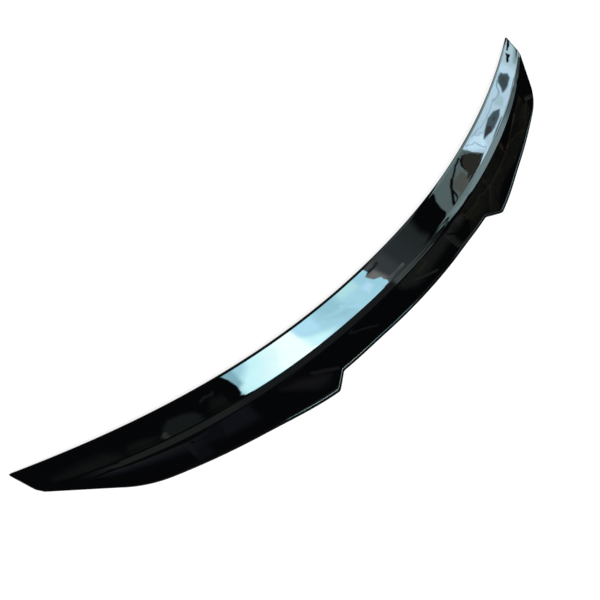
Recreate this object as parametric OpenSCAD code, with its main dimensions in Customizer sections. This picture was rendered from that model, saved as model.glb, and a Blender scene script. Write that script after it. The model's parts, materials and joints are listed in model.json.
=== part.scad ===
// Rear spoiler for a saloon's boot lid, stuck on with foam tape.
// One moulded, gloss-black shell: a thin front edge that lies on the lid, a creased top that
// kicks up to a blunt trailing lip, a scooped rear face and an in-turned rear flange. The lip
// is cut back at mid span between two slanted steps, and each end is cut off slantwise.
//
// +X runs along the span, +Y points to the front of the car and +Z up. The origin is at the
// middle of the part's box, on its underside. Along the way a point is held as [x, reach, z],
// where reach is its distance behind the line that joins the two tips.

/* [Plan] */
// Span from tip to tip, before the tips are rounded
span = 1250; // [1050:10:1400]
// Depth of the front edge's bow, from the tips to mid span
front_bow = 127; // [100:0.5:150]
// Exponent of the front edge's bow, 2 being a parabola
front_bow_power = 2.1; // [1.9:0.05:2.3]
// Reach of the full lip line at mid span, before it is cut back
lip_reach = 249; // [240:1:280]
// How far the lip line sweeps forward over half the span
lip_sweep = 170; // [160:1:190]
// Exponent of the lip line's sweep
lip_sweep_power = 2.1; // [2:0.05:2.4]
// Length along the span of each slanted end, from the tip to the lip's corner
end_cut = 107; // [80:1:120]
// Length along the span from the tip to where the crease meets the slanted end
crease_end_cut = 12; // [5:1:20]
// Rounding of the lip's corner, measured along its two sides
corner_round = 30; // [10:1:40]
// Rounding of the tips, measured along their two sides
tip_round = 5; // [2:0.5:8]
// Distance of the crease behind the front edge at mid span
crease_offset = 54; // [45:0.5:65]
// Distance of the crease behind the front edge at its ends
crease_end_offset = 39; // [30:1:50]

/* [Heights] */
// How much lower the front edge is at the tips than at mid span
tip_droop = 5; // [2:0.5:12]
// Exponent of the front edge's droop: the higher it is, the later the edge turns down
droop_power = 7.4; // [6:0.2:9]
// Rise of the crease above the front edge at mid span
crease_rise = 13; // [10:0.5:18]
// Rise of the crease above the front edge at its ends
crease_end_rise = 4; // [2:0.5:8]
// Height of the lip's corners above the tips
lip_end_rise = 23; // [18:0.5:32]
// Further rise of the full lip line at mid span
lip_kick = 21; // [15:0.5:35]

/* [Cut-back lip] */
// Depth of the cut at mid span
recess_depth = 20.5; // [10:0.5:30]
// Half length of the cut-back lip, to the inner corners
recess_half = 204.5; // [120:0.5:260]
// Length along the span of each slanted step
recess_step = 30; // [15:0.5:60]
// How far the lip swells out beyond its sweep beside each slanted step
lip_swell = 5; // [0:0.5:8]
// Length along the span over which the swell dies away on either side
swell_length = 130; // [100:5:180]

/* [Section] */
// Wall thickness of the moulding
wall = 2.8; // [2:0.1:4]
// Thickness of the front edge
front_edge_t = 2.5; // [1.5:0.1:4]
// Height of the blunt lip
lip_t = 4; // [3:0.1:6]
// Edge radius of the lip and of the slanted ends
edge_round = 1.4; // [0.5:0.1:1.4]
// Width of the flat strip along the crease
crease_strip = 12; // [6:0.5:20]
// How far the strip's two soft corners reach to either side
crease_soft = 1.6; // [0.5:0.1:2.5]
// Overhang of the full lip line past the foot at mid span
overhang = 36; // [30:1:45]
// Overhang of the lip past the foot at its corners
end_overhang = 10; // [5:0.5:18]

/* [Underside] */
// Width of the front land, where the front tape sits
front_land = 13; // [11:0.5:20]
// Width of the rear flange, where the rear tape sits
rear_flange = 15; // [12:0.5:20]
// Thickness of the rear flange
flange_t = 2.8; // [2:0.1:4]
// Number of stiffening ribs, an even number
rib_count = 10; // [2:2:14]
// Thickness of a rib
rib_t = 2.2; // [1.5:0.1:4]

/* [Tape] */
// Width of the foam tape
tape_w = 9; // [6:0.5:10]
// Thickness of the foam tape
tape_t = 1.1; // [0.8:0.1:2]
// Gap between two lengths of tape
tape_gap = 12; // [5:1:40]
// Inset of the front tape from the front edge
front_tape_inset = 2; // [1.5:0.1:2.5]
// Inset of the rear tape from the foot
rear_tape_inset = 2.5; // [1:0.1:3]
// Bare length between the front tape and each tip, along the front edge
front_tape_stop = 45; // [30:1:90]
// Bare length past the rear tape at each end, also along the front edge
rear_tape_stop = 65; // [50:1:90]
// Half length of the middle lengths of tape
tape_mid_half = 190; // [100:1:250]

/* [Hidden] */

half = span / 2;
corner_x = half - end_cut;
crease_x = half - crease_end_cut;
step_end = recess_half + recess_step;
// Height of the tips' top edge: the shell's front edge lies on the tape
tip_z = tape_t + front_edge_t;
// Softening of the recess corners, as a share of the step
step_soft = 0.12;
// The stations fan out over this length, so that the last one lies along the slanted end
fan_length = 2.35 * end_cut;

function lerp(a, b, t) = a + (b - a) * t;
function unit(v) = v / norm(v);
function bell(t) = (1 + cos(180 * min(t, 1))) / 2;
function flat(v) = [v[0], v[1], 0];
function raised(p, z) = [p[0], p[1], p[2] + z];
function at_height(p, z) = [p[0], p[1], z];
// Direction a quarter turn outward from a run along the span, in plan
function outward(v) = unit([-v[1], v[0], 0]);
// A ramp from 0 to 1 with softened corners
function soft_ramp(t, b) =
    t <= -b ? 0 :
    t < b ? pow(t + b, 2) / (4 * b) :
    t <= 1 - b ? t :
    t < 1 + b ? 1 - pow(1 + b - t, 2) / (4 * b) : 1;
// Quadratic curve through a and c, drawn toward b
function curve(a, b, c, t) = lerp(lerp(a, b, t), lerp(b, c, t), t);

// The bands keep their width over most of the span and narrow only toward the ends
narrowing_power = 6;
// The three lines that carry the top surface, for x from 0 to half
function front_line(x) =
    [x,
     front_bow * (1 - pow(x / half, front_bow_power)),
     tip_z + tip_droop * (1 - pow(x / half, droop_power))];
function crease_line(x) =
    front_line(x)
    + [0, lerp(crease_offset, crease_end_offset, pow(x / crease_x, narrowing_power)),
       crease_end_rise + (crease_rise - crease_end_rise) * bell(x / crease_x)];
function lip_line(x) =
    [x,
     lip_reach - lip_sweep * pow(x / half, lip_sweep_power)
     + lip_swell * bell(abs(x - step_end) / swell_length),
     tip_z + lip_end_rise + lip_kick * bell(x / corner_x)];

// The lip line turns round its corner and runs on along the slanted end
lip_corner = lip_line(corner_x);
lip_run = lip_corner - lip_line(corner_x - corner_round);
end_run = unit(crease_line(crease_x) - lip_corner) * corner_round;
function full_lip(x) =
    let (v = (x - corner_x + corner_round) / corner_round)
    v < 0 ? lip_line(x) : lip_corner - lip_run * pow(1 - v, 2) + end_run * pow(v, 2);

// The front edge turns round the tip in the same way
tip = front_line(half);
tip_run = tip - front_line(half - tip_round);
tip_turn = unit(crease_line(crease_x) - tip) * tip_round;
function front_at(x) =
    let (v = (x - half + tip_round) / tip_round)
    v < 0 ? front_line(x) : tip - tip_run * pow(1 - v, 2) + tip_turn * pow(v, 2);

// Each station joins a point of the front edge to one of the crease and one of the lip,
// which lag behind it toward the ends
function lag(x, cut) = x - cut * pow(max(0, x - half + fan_length) / fan_length, 2);
function crease_at(x) = crease_line(lag(x, crease_end_cut));
function full_lip_at(x) = full_lip(lag(x, end_cut));
// Share of the full cut-back, from 0 outside the recess to 1 at its inner corners
function recess_at(x) = soft_ramp((step_end - x) / recess_step, step_soft);
function lip_at(x) =
    let (lip = full_lip_at(x), crease = crease_at(x))
    lerp(lip, crease, recess_at(x) * recess_depth / norm(flat(lip - crease)));

// Outward direction of the lip line at a station, from its neighbours on either side
look = 1.5;
function lip_out(x) =
    x < look ? [0, 1, 0] : outward(lip_at(min(x + look, half)) - lip_at(x - look));
function full_lip_out(x) =
    x < look ? [0, 1, 0] : outward(full_lip_at(min(x + look, half)) - full_lip_at(x - look));

// The foot stands inside the full lip line, flat on the tape
function overhang_at(x) = lerp(end_overhang, overhang, bell(lag(x, end_cut) / corner_x));
function foot_at(x) = at_height(full_lip_at(x) - full_lip_out(x) * overhang_at(x), tape_t);
function sole_at(x) = raised(front_at(x), -front_edge_t);
function inward_at(x) = unit(flat(sole_at(x) - foot_at(x)));
// Points of the underside: the flange is flat, and the rest runs straight to the front edge
function ahead_of_foot(x, d) = foot_at(x) + inward_at(x) * d;
function brink_at(x) = ahead_of_foot(x, rear_flange);
function behind_sole(x, d) = sole_at(x) + unit(brink_at(x) - sole_at(x)) * d;

// The rear face is scooped out under the lip
scoop_share = 0.7;
function throat_at(x) = raised(lip_at(x) - lip_out(x) * edge_round, -lip_t);
function rear_face(x, t) =
    let (foot = foot_at(x), throat = throat_at(x))
    curve(foot, at_height(foot, lerp(foot[2], throat[2], scoop_share)), throat, t);

// The section's upper side, from the front edge to the lip: two bands and a strip between them
corner_facets = 2;
// A rounded edge's middle point lies this far inside the corner both ways
bend = edge_round * (1 - cos(45));
function top_chain(x) =
    let (front = front_at(x), crease = crease_at(x), lip = lip_at(x),
         forward = unit(front - crease), rearward = unit(lip - crease),
         strip_in = crease + forward * crease_strip / 2,
         strip_out = crease + rearward * crease_strip / 2,
         across = unit(strip_out - strip_in) * crease_soft,
         band_in = strip_in + forward * crease_soft,
         band_out = strip_out + rearward * crease_soft,
         shoulder = front + unit(crease - front) * front_edge_t / 2,
         lip_top = lip + unit(crease - lip) * edge_round)
    concat([raised(front, -front_edge_t / 2), shoulder, lerp(shoulder, band_in, 0.5)],
           [for (t = [0:corner_facets]) curve(band_in, strip_in, strip_in + across, t / corner_facets)],
           [for (t = [0:corner_facets])
               curve(strip_out - across, strip_out, band_out, t / corner_facets)],
           [lerp(band_out, lip_top, 0.5), lip_top,
            raised(lip - lip_out(x) * bend, -bend), raised(lip, -edge_round)]);
// Its lower side: the front land, what lies between land and flange, then the rear face
face_facets = 4;
nose_share = 0.75;
function under_chain(x, between) =
    let (lip = lip_at(x))
    concat([raised(front_at(x), -front_edge_t * nose_share), behind_sole(x, front_edge_t / 2)],
           between,
           [for (i = [0:face_facets]) rear_face(x, i / face_facets)],
           [raised(lip - lip_out(x) * bend, bend - lip_t), raised(lip, edge_round - lip_t)]);

// The hollow keeps its distance from the slanted ends, where an end wall closes it
end_out = outward(tip - lip_at(half));
end_wall_t = 1.2 * wall;
setback_length = 0.11 * half;
setback_power = 0.6;
function setback(x) =
    -end_out * end_wall_t * pow(max(0, x - half + setback_length) / setback_length, setback_power);
// Between land and flange the section is either hollow, up under the skin and down the inside
// of the rear face, or closed along the underside, at a rib or an end wall
lip_solid = 2.2 * lip_t;
crease_wall = 1.1 * wall;
rear_wall = 1.2 * wall;
// Heights up the rear face at which its inner side follows it
face_upper = 0.8;
face_lower = 0.45;
function hollow(x) =
    let (front = front_at(x), crease = crease_at(x), lip = lip_at(x), inward = inward_at(x),
         land = behind_sole(x, front_land), flange = brink_at(x),
         roof = lerp(front, crease, norm(flat(land - front)) / norm(flat(crease - front))),
         points = [land, raised(roof, -wall), raised(lerp(roof, crease, 0.5), -wall),
                   raised(crease, -crease_wall),
                   raised(lip + unit(crease - lip) * lip_solid, -rear_wall),
                   rear_face(x, face_upper) + inward * wall,
                   rear_face(x, face_lower) + inward * wall,
                   raised(foot_at(x) + inward * wall, flange_t), raised(flange, flange_t),
                   flange])
    [for (p = points) p + setback(x)];
hollow_points = 10;
function web(x) =
    let (land = behind_sole(x, front_land), flange = brink_at(x))
    [for (i = [0:hollow_points - 1]) lerp(land, flange, i / (hollow_points - 1))];

// Points on the far side of mid span are mirrored, and every loop runs top first
function mirrored(p) = [-p[0], p[1], p[2]];
function looped(x, top, under) =
    let (loop = concat(top, [for (i = [len(under) - 1:-1:0]) under[i]]))
    x < 0 ? [for (p = loop) mirrored(p)] : loop;
function open_loop(x) = looped(x, top_chain(abs(x)), under_chain(abs(x), hollow(abs(x))));
function closed_loop(x) = looped(x, top_chain(abs(x)), under_chain(abs(x), web(abs(x))));
// A slanted end is closed by a wall, and its upper edge is rounded off by the last loops, which
// step down by each point's height above the sole, up to the whole drop from the edge's top up.
// The rounding dies away toward the lip, where the stations run together
last_open = half - edge_round;
end_drop = min(edge_round, 0.4 * front_edge_t);
end_wall_draft = 0.8;
function end_loop(side, turn) =
    let (x = half - edge_round * (1 - sin(turn)), drop = -end_drop * (1 - cos(turn)),
         sole_z = sole_at(x)[2],
         wall_foot = turn < 90 ? end_wall_draft * setback(x) : [0, 0, 0])
    looped(side * x,
           [for (p = top_chain(x)) raised(p, drop * min(1, (p[2] - sole_z) / front_edge_t))],
           under_chain(x, [for (p = web(x)) p + wall_foot]));

// Stations from mid span to the tip, close together where the outline turns
ramp_from = recess_half - step_soft * recess_step;
ramp_to = step_end + step_soft * recess_step;
fan_from = half - fan_length;
plain_parts = 4;
fan_parts = 12;
tip_parts = 3;
half_stations = concat(
    [for (i = [0:plain_parts - 1]) ramp_from * i / plain_parts],
    [for (t = [-step_soft, 0, step_soft, 0.5, 1 - step_soft, 1]) recess_half + t * recess_step],
    [for (i = [0:plain_parts - 1]) lerp(ramp_to, fan_from, i / plain_parts)],
    [for (i = [0:fan_parts]) lerp(fan_from, half - tip_round, i / fan_parts)],
    [for (i = [1:tip_parts]) lerp(half - tip_round, last_open, i / tip_parts)]);
stations = concat([for (i = [len(half_stations) - 1:-1:1]) -half_stations[i]], half_stations);
function stations_between(a, b) =
    concat([a], [for (x = stations) if (x > a + look && x < b - look) x], [b]);

// Moves a point from [x, reach, z] into the part's own frame
rearmost = max([for (x = half_stations) lip_at(x)[1]]);
foremost = min([for (x = half_stations) front_at(x)[1]]);
function placed(p) = [p[0], (rearmost + foremost) / 2 - p[1], p[2]];

// A solid lofted through loops of points, of which the first tops make the upper side
module loft(loops, tops) {
    n = len(loops[0]);
    last = (len(loops) - 1) * n;
    sides = [for (i = [0:n:last - n], j = [0:n - 1])
        let (a = i + j, b = i + (j + 1) % n)
        each [[a, b + n, b], [a, a + n, b + n]]];
    // Each cap is a strip between the upper and the lower side
    across = [for (i = [0:n - tops - 1]) floor(i * (tops - 1) / (n - tops - 1))];
    cap = [for (i = [0:n - tops - 2])
        let (a = across[i], b = across[i + 1])
        each concat([[b, n - 2 - i, n - 1 - i]], b > a ? [[a, b, n - 1 - i]] : [])];
    far_cap = [for (t = cap) [t[2] + last, t[1] + last, t[0] + last]];
    polyhedron([for (loop = loops, p = loop) placed(p)], concat(sides, cap, far_cap),
               convexity = 8);
}

// Each rib has a face with a little draft on either side
rib_pitch = span / (rib_count + 0.8);
rib_draft = 0.4;
rib_places = [for (i = [0:rib_count - 1]) (i - (rib_count - 1) / 2) * rib_pitch];
function bay(i) =
    let (from = i == 0 ? -last_open : rib_places[i - 1] + rib_t / 2,
         to = i == rib_count ? last_open : rib_places[i] - rib_t / 2,
         from_open = i == 0 ? from : from + rib_draft,
         to_open = i == rib_count ? to : to - rib_draft)
    concat(i > 0 ? [closed_loop(from)] : [],
           [for (x = stations_between(from_open, to_open)) open_loop(x)],
           i < rib_count ? [closed_loop(to)] : []);
module spoiler_shell() {
    color("#101113")
    loft(concat([for (turn = [90, 45]) end_loop(-1, turn)],
                [for (i = [0:rib_count]) each bay(i)],
                [for (turn = [45, 90]) end_loop(1, turn)]),
         len(top_chain(0)));
}

// A length of foam tape under the front land or the rear flange
module tape(from, to, front) {
    color("#3b3d40")
    loft([for (x = stations_between(from, to))
        let (s = abs(x),
             edges = front
                 ? [behind_sole(s, front_tape_inset), behind_sole(s, front_tape_inset + tape_w)]
                 : [ahead_of_foot(s, rear_tape_inset + tape_w), ahead_of_foot(s, rear_tape_inset)])
        looped(x, edges, [for (p = edges) raised(p, -tape_t)])],
        2);
}
tape_side_from = tape_mid_half + tape_gap;
front_tape_end = half - front_tape_stop;
rear_tape_end = half - rear_tape_stop;
module front_tape_left() { tape(-front_tape_end, -tape_side_from, true); }
module front_tape_middle() { tape(-tape_mid_half, tape_mid_half, true); }
module front_tape_right() { tape(tape_side_from, front_tape_end, true); }
module rear_tape_left() { tape(-rear_tape_end, -tape_side_from, false); }
module rear_tape_middle() { tape(-tape_mid_half, tape_mid_half, false); }
module rear_tape_right() { tape(tape_side_from, rear_tape_end, false); }

spoiler_shell();
front_tape_left();
front_tape_middle();
front_tape_right();
rear_tape_left();
rear_tape_middle();
rear_tape_right();
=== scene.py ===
# %% [markdown]
# A rear spoiler for a saloon's boot lid: one gloss-black moulding about 1.25 m long, stuck on with
# foam tape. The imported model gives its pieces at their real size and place. This lesson gives the
# moulding a surface fine enough for mirror gloss, paints it, and lights it so that its two bands
# and the crease between them read by what they reflect.
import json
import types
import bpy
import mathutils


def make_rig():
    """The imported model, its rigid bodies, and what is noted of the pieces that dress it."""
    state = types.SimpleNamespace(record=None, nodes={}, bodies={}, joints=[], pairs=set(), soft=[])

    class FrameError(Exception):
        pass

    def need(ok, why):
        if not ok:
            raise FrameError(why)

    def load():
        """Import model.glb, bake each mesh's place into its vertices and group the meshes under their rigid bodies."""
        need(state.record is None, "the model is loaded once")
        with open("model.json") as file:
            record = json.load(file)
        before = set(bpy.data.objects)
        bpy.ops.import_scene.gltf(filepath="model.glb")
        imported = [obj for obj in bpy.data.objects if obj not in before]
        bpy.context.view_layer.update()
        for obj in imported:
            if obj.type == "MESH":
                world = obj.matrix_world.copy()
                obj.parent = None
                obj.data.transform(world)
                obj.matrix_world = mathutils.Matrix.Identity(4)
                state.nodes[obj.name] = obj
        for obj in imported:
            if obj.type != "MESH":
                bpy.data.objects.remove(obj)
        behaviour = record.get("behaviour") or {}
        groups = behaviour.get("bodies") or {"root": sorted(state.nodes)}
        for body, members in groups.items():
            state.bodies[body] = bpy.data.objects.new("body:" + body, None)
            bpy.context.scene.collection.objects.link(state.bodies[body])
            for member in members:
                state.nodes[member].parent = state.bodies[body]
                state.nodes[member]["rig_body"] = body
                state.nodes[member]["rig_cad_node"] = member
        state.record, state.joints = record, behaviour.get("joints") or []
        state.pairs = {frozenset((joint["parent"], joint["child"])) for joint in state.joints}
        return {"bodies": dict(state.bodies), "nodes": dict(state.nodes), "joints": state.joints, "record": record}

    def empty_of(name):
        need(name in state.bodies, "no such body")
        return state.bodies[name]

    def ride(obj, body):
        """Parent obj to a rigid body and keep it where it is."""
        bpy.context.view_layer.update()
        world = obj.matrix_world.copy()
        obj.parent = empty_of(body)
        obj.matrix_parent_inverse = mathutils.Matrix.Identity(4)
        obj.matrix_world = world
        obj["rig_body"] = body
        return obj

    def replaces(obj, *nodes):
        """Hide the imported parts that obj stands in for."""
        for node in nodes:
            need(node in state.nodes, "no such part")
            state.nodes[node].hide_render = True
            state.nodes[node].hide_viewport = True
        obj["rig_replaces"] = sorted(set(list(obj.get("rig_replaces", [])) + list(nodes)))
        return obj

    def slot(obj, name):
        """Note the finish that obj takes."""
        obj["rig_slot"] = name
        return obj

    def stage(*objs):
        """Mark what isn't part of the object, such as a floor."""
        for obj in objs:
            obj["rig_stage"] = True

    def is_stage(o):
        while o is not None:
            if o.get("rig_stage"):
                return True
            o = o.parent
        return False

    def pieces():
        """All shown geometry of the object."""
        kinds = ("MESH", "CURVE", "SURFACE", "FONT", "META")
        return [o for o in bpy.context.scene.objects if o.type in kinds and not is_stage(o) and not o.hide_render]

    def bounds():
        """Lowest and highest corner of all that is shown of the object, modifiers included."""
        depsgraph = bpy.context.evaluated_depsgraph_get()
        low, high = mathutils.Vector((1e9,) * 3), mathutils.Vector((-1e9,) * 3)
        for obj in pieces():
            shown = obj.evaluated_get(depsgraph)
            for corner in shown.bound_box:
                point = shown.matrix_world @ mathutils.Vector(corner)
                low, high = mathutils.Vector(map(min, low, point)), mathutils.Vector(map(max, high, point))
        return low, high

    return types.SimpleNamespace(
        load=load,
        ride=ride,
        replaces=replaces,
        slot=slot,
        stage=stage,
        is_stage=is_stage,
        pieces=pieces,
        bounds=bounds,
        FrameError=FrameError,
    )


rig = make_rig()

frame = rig.load()
CAD_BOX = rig.bounds()
print("nodes:", sorted(frame["nodes"]))

# %% The libraries and the unit
import json
import math

import bpy
import numpy as np
from mathutils import Quaternion, Vector

MM = 0.001
print("the box in millimetres:", [round(side / MM, 1) for side in CAD_BOX[1] - CAD_BOX[0]])

# %% [markdown]
# The top of such a spoiler is carried by three lines: the thin front edge, the crease and the
# trailing lip. Modelling it by hand would mean pushing control points until the reflections run
# smoothly. Formulas are better here, because a formula has no bumps, and because the construction
# uses the same three lines. A place on the surface is held as [x, reach, z] in millimetres, where
# reach is its distance behind the line that joins the two tips.

# %% Driving dimensions, in millimetres
SPAN = 1250
FRONT_BOW = 127
FRONT_BOW_POWER = 2.1
LIP_REACH = 249
LIP_SWEEP = 170
LIP_SWEEP_POWER = 2.1
END_CUT = 107
CREASE_END_CUT = 12
CORNER_ROUND = 30
TIP_ROUND = 5
CREASE_OFFSET = 54
CREASE_END_OFFSET = 39
NARROWING_POWER = 6
TAPE_T = 1.1
FRONT_EDGE_T = 2.5
TIP_DROOP = 5
DROOP_POWER = 7.4
CREASE_RISE = 13
CREASE_END_RISE = 4
LIP_END_RISE = 23
LIP_KICK = 21
RECESS_DEPTH = 20.5
RECESS_HALF = 204.5
RECESS_STEP = 30
LIP_SWELL = 4.8
SWELL_LENGTH = 130
STEP_SOFT = 0.12

HALF = SPAN / 2
CORNER_X = HALF - END_CUT
CREASE_X = HALF - CREASE_END_CUT
STEP_END = RECESS_HALF + RECESS_STEP
TIP_Z = TAPE_T + FRONT_EDGE_T
print("the lip turns its corner at %.0f mm, the crease ends at %.0f mm" % (CORNER_X, CREASE_X))

# %% Small helpers for whole arrays of points
def points(x, reach, z):
    """Stacks x, reach and z into an array of points."""
    return np.stack(np.broadcast_arrays(x, reach, z), axis=-1).astype(float)


def scaled(vectors, factor):
    """Each vector times its own factor."""
    return vectors * np.asarray(factor, float)[..., None]


def blend(a, b, t):
    """The point at share t of the way from a to b."""
    return a + scaled(b - a, t)


def unit(vectors):
    """Each vector divided by its length."""
    return vectors / np.linalg.norm(vectors, axis=-1, keepdims=True)


def raised(p, z):
    """The same points, z higher."""
    return p + points(0, 0, z)


def outward(p):
    """A direction's quarter turn outward in plan, as a unit vector."""
    return unit(points(-p[..., 1], p[..., 0], 0))


def at_height(p, z):
    """The same points in plan, at height z."""
    return points(p[..., 0], p[..., 1], z)


def flat(p):
    """The same points in plan, at height nought."""
    return at_height(p, 0)


def bell(t):
    """Half a cosine wave: 1 at t = 0, falling smoothly to 0 at t = 1 and past it."""
    return (1 + np.cos(np.pi * np.minimum(t, 1))) / 2


def bend(a, b, c, t):
    """The quadratic curve from a to c, drawn toward b, at its parameter t from 0 to 1."""
    return blend(blend(a, b, t), blend(b, c, t), t)


print("halfway along a bend:", bend(points(0, 0, 0), points(1, 0, 0), points(1, 0, 1), 0.5))

# %% The three carrying lines
def front_line(x):
    """The front edge: a bow of about a parabola in plan, level until it turns down at the tips."""
    share = x / HALF
    return points(x, FRONT_BOW * (1 - share ** FRONT_BOW_POWER),
                  TIP_Z + TIP_DROOP * (1 - share ** DROOP_POWER))


def crease_line(x):
    """The crease: a set distance behind the front edge that shrinks toward the ends, and a rise
    above it that follows half a cosine wave."""
    share = x / CREASE_X
    offset = CREASE_OFFSET + (CREASE_END_OFFSET - CREASE_OFFSET) * share ** NARROWING_POWER
    rise = CREASE_END_RISE + (CREASE_RISE - CREASE_END_RISE) * bell(share)
    return front_line(x) + points(0, offset, rise)


def lip_line(x):
    """The lip before its corner: swept forward by a power of x, with a slight swell beside the
    slanted step, and highest at mid span."""
    swell = LIP_SWELL * bell(np.abs(x - STEP_END) / SWELL_LENGTH)
    return points(x, LIP_REACH - LIP_SWEEP * (x / HALF) ** LIP_SWEEP_POWER + swell,
                  TIP_Z + LIP_END_RISE + LIP_KICK * bell(x / CORNER_X))


def rounded_corner(line, corner_x, length, toward, x):
    """A line whose end at corner_x is turned by a quadratic curve toward another point. The
    curve starts the given length before the corner and ends as far past it."""
    corner = line(corner_x)
    run = corner - line(corner_x - length)
    turn = unit(toward - corner) * length
    v = np.maximum((x - corner_x + length) / length, 0)
    before = line(np.minimum(x, corner_x - length))
    turned = corner - scaled(run, (1 - v) ** 2) + scaled(turn, v ** 2)
    return np.where((v > 0)[..., None], turned, before)


def full_lip(x):
    """The lip with its corner turned into the slanted end."""
    return rounded_corner(lip_line, CORNER_X, CORNER_ROUND, crease_line(CREASE_X), x)


def front_at(x):
    """The front edge with its tip turned into the slanted end."""
    return rounded_corner(front_line, HALF, TIP_ROUND, crease_line(CREASE_X), x)


print("corner of the lip:", np.round(lip_line(CORNER_X), 1))

# %% [markdown]
# The real part's ends slant from the tip of the front edge to the corner of the lip. A Boolean
# would leave slivers along the cut. Instead the stations, the places of the sections along the
# span, fan out toward the ends, and the last one is the end itself.

# %% Stations that fan out toward the slanted ends
FAN_LENGTH = 2.35 * END_CUT
NEIGHBOUR_GAP = 1.5


def lag(x, cut):
    """How far along its own line a station ends up: it falls behind by the square of the way
    into the fan, and by the whole cut at the tip."""
    return x - cut * (np.maximum(0, x - HALF + FAN_LENGTH) / FAN_LENGTH) ** 2


def soft_ramp(t, soft):
    """A ramp from 0 to 1 whose two corners are rounded by parabolas of half width soft."""
    low = (t + soft) ** 2 / (4 * soft)
    high = 1 - (1 + soft - t) ** 2 / (4 * soft)
    return np.select([t <= -soft, t < soft, t <= 1 - soft, t < 1 + soft], [0, low, t, high], 1)


def crease_at(x):
    """The crease's point of a station."""
    return crease_line(lag(x, CREASE_END_CUT))


def full_lip_at(x):
    """The uncut lip's point of a station."""
    return full_lip(lag(x, END_CUT))


def lip_at(x):
    """The lip's point of a station: drawn straight toward the crease by the recess's depth,
    as far as the slanted steps have ramped it up."""
    lip = full_lip_at(x)
    crease = crease_at(x)
    share = soft_ramp((STEP_END - x) / RECESS_STEP, STEP_SOFT)
    return blend(lip, crease, share * RECESS_DEPTH / np.linalg.norm(flat(lip - crease), axis=-1))


def outward_of(line, x):
    """The direction in plan that points out of a line, a quarter turn from its chord between two
    neighbours. At mid span it points straight back."""
    chord = line(np.minimum(x + NEIGHBOUR_GAP, HALF)) - line(np.maximum(x - NEIGHBOUR_GAP, 0))
    return np.where((x < NEIGHBOUR_GAP)[..., None], points(0, 1, 0), outward(chord))


print("lip at mid span and beside the step:", np.round(lip_at(np.array([0.0, 240.0])), 1))

# %% [markdown]
# The moulding's section runs up over the thin front edge, across the front band, over the crease,
# across the steeper rear band, round the blunt lip, down a scooped rear face to the flange, and
# back through the hollow under the skin. On the real part the crease is a narrow facet, and it is
# what catches a strip of other light between the two bands. A bevel modifier could round all of
# it alike, but every edge here has its own radius, so each is a small curve in the section.

# %% Section of the outside, from the front edge over the top to the foot
FRONT_ROUND = 1.3
CREASE_STRIP = 12
CREASE_SOFT = 1.6
LIP_T = 4
LIP_ROUND = 4.6
LIP_FALL = 1.6
BROW_ROUND = 0.5
THROAT_ROUND = 1.4
OVERHANG = 36
END_OVERHANG = 10
SCOOP_SHARE = 0.7


def steps(count, first=0):
    """Shares from 0 to 1 in even steps, from the given one on."""
    return [i / count for i in range(first, count + 1)]


def foot_at(x):
    """The foot of the rear face: inside the uncut lip by an overhang that shrinks to the ends."""
    overhang = END_OVERHANG + (OVERHANG - END_OVERHANG) * bell(lag(x, END_CUT) / CORNER_X)
    return at_height(full_lip_at(x) - scaled(outward_of(full_lip_at, x), overhang), TAPE_T)


def rear_face(x, t):
    """The scooped rear face, a quadratic curve from the foot to the throat under the lip."""
    foot = foot_at(x)
    throat = raised(lip_at(x) - outward_of(lip_at, x) * THROAT_ROUND, -LIP_T)
    pull = at_height(foot, foot[..., 2] + SCOOP_SHARE * (throat[..., 2] - foot[..., 2]))
    return bend(foot, pull, throat, t)


def top_rows(x):
    """Rows from the nose of the front edge to the lip's face. The lip rolls over softly to its
    brow and turns down sharply there, so its highlight lies a little inside the outline."""
    front, crease, lip = front_at(x), crease_at(x), lip_at(x)
    nose = raised(front, -FRONT_EDGE_T / 2)
    shoulder = front + unit(crease - front) * FRONT_ROUND
    forward, rearward = unit(front - crease), unit(lip - crease)
    strip_in = crease + forward * CREASE_STRIP / 2
    strip_out = crease + rearward * CREASE_STRIP / 2
    across = unit(strip_out - strip_in) * CREASE_SOFT
    before_in = strip_in + forward * CREASE_SOFT
    after_out = strip_out + rearward * CREASE_SOFT
    ridge, brow = lip - rearward * LIP_ROUND / 2, raised(lip, -LIP_FALL)
    brow_in = brow + unit(ridge - brow) * BROW_ROUND
    return ([bend(nose, front, shoulder, t) for t in steps(8)]
            + [blend(shoulder, before_in, t) for t in steps(12, 1)]
            + [bend(before_in, strip_in, strip_in + across, t) for t in steps(4, 1)]
            + [blend(strip_in + across, strip_out - across, t) for t in steps(3, 1)]
            + [bend(strip_out - across, strip_out, after_out, t) for t in steps(4, 1)]
            + [blend(after_out, lip - rearward * LIP_ROUND, t) for t in steps(12, 1)]
            + [bend(lip - rearward * LIP_ROUND, ridge, brow_in, t) for t in steps(8, 1)]
            + [bend(brow_in, brow, raised(brow, -BROW_ROUND), t) for t in steps(3, 1)])


def rear_rows(x):
    """Rows from under the lip down the rear face to the foot."""
    lip = lip_at(x)
    edge = raised(lip, THROAT_ROUND - LIP_T)
    throat = rear_face(x, 1)
    return ([bend(edge, raised(lip, -LIP_T), throat, t) for t in steps(4)]
            + [rear_face(x, 1 - t) for t in steps(12, 1)])


print("outside rows:", len(top_rows(np.zeros(1))) + len(rear_rows(np.zeros(1))))

# %% [markdown]
# Underneath, such a moulding is hollow: a wall of even thickness, an in-turned flange and a front
# land for the tape, and thin ribs across. A Solidify modifier makes an even wall in one go, but it
# can't thicken the lip or leave ribs standing. So the hollow is drawn as rows of the same section.
# At a rib those rows are laid straight across instead, from the flange to the land.

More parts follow.
